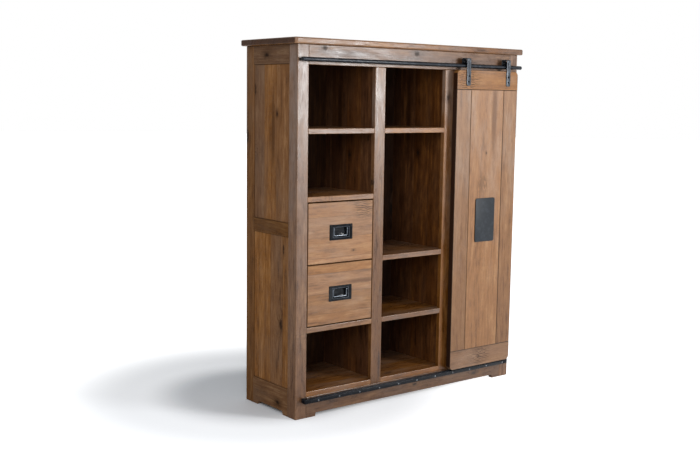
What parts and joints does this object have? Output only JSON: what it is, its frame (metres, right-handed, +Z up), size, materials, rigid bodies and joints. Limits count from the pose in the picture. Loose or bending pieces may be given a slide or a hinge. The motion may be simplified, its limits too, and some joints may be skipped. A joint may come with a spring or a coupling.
{
  "type": "sliding door wardrobe",
  "caption": "Brushed timber wardrobe with open compartments, flush drawers with recessed pulls and a door hung on an outside rail.",
  "frame": {"origin": "on the floor, under the middle of the whole piece including the hanging hardware", "axes": "+X to the viewer's right when facing the front, +Y to the back, +Z up"},
  "size_m": [1.5, 0.498, 1.8],
  "materials": {
    "frame_timber": "brushed, waxed",
    "inner_timber": "brushed, matt",
    "door_timber": "brushed, waxed",
    "black_steel": "satin black",
    "plaque_steel": "satin dark grey",
    "bright_screws": "bright"
  },
  "bodies": {
    "carcase": {"apron_rail": "frame_timber", "back_panel": "inner_timber", "back_rail": "inner_timber", "bottom_board": "frame_timber", "drawer_runners": "inner_timber", "frieze_rail": "frame_timber", "hanging_rail": "black_steel", "left_back_post": "frame_timber", "left_divider": "inner_timber", "left_front_post": "frame_timber", "left_mid_stile": "frame_timber", "left_shelf_centre": "inner_timber", "left_shelf_lower": "inner_timber", "left_shelf_upper": "inner_timber", "left_side_panels": "frame_timber", "left_side_rails": "frame_timber", "middle_shelf_centre": "inner_timber", "middle_shelf_lower": "inner_timber", "middle_shelf_upper": "inner_timber", "rail_standoffs": "black_steel", "right_back_post": "frame_timber", "right_divider": "inner_timber", "right_front_post": "frame_timber", "right_mid_stile": "frame_timber", "right_shelf_centre": "inner_timber", "right_shelf_lower": "inner_timber", "right_shelf_upper": "inner_timber", "right_side_panels": "frame_timber", "right_side_rails": "frame_timber", "top_board": "frame_timber", "track": "black_steel", "track_screws": "bright_screws", "track_stops": "black_steel"},
    "door": {"door_top_rail": "door_timber", "door_bottom_rail": "door_timber", "door_left_stile": "door_timber", "door_right_stile": "door_timber", "door_panel": "door_timber", "door_plaque": "plaque_steel", "hanger_straps": "black_steel", "hanger_bolts": "black_steel", "roller_axles": "black_steel", "door_guides": "black_steel"},
    "left_wheel": {"left_roller": "black_steel"},
    "right_wheel": {"right_roller": "black_steel"},
    "upper_drawer": {"upper_drawer_front": "frame_timber", "upper_drawer_sides": "inner_timber", "upper_drawer_back": "inner_timber", "upper_drawer_bottom": "inner_timber", "upper_drawer_pull": "black_steel"},
    "lower_drawer": {"lower_drawer_front": "frame_timber", "lower_drawer_sides": "inner_timber", "lower_drawer_back": "inner_timber", "lower_drawer_bottom": "inner_timber", "lower_drawer_pull": "black_steel"},
    "upper_bail": {"upper_drawer_bail": "black_steel"},
    "lower_bail": {"lower_drawer_bail": "black_steel"}
  },
  "joints": [
    {"name": "door_slide", "type": "slide", "parent": "carcase", "child": "door", "axis": [1, 0, 0], "range_m": [-0.924, 0]},
    {"name": "left_wheel_spin", "type": "hinge", "parent": "door", "child": "left_wheel", "pos_m": [0.316, -0.226, 1.72005], "axis": [0, 1, 0], "range_deg": [-5885, 5]},
    {"name": "right_wheel_spin", "type": "hinge", "parent": "door", "child": "right_wheel", "pos_m": [0.608, -0.226, 1.72005], "axis": [0, 1, 0], "range_deg": [-5885, 5]},
    {"name": "upper_drawer_slide", "type": "slide", "parent": "carcase", "child": "upper_drawer", "axis": [0, -1, 0], "range_m": [0, 0.3]},
    {"name": "lower_drawer_slide", "type": "slide", "parent": "carcase", "child": "lower_drawer", "axis": [0, -1, 0], "range_m": [0, 0.3]},
    {"name": "upper_bail_swing", "type": "hinge", "parent": "upper_drawer", "child": "upper_bail", "pos_m": [-0.462, -0.193, 0.9045], "axis": [-1, 0, 0], "range_deg": [0, 85]},
    {"name": "lower_bail_swing", "type": "hinge", "parent": "lower_drawer", "child": "lower_bail", "pos_m": [-0.462, -0.193, 0.6075], "axis": [-1, 0, 0], "range_deg": [0, 85]}
  ],
  "couplings": [
    {"joint": "left_wheel_spin", "follows": "door_slide", "rad_per_m": 111.11},
    {"joint": "right_wheel_spin", "follows": "door_slide", "rad_per_m": 111.11}
  ]
}
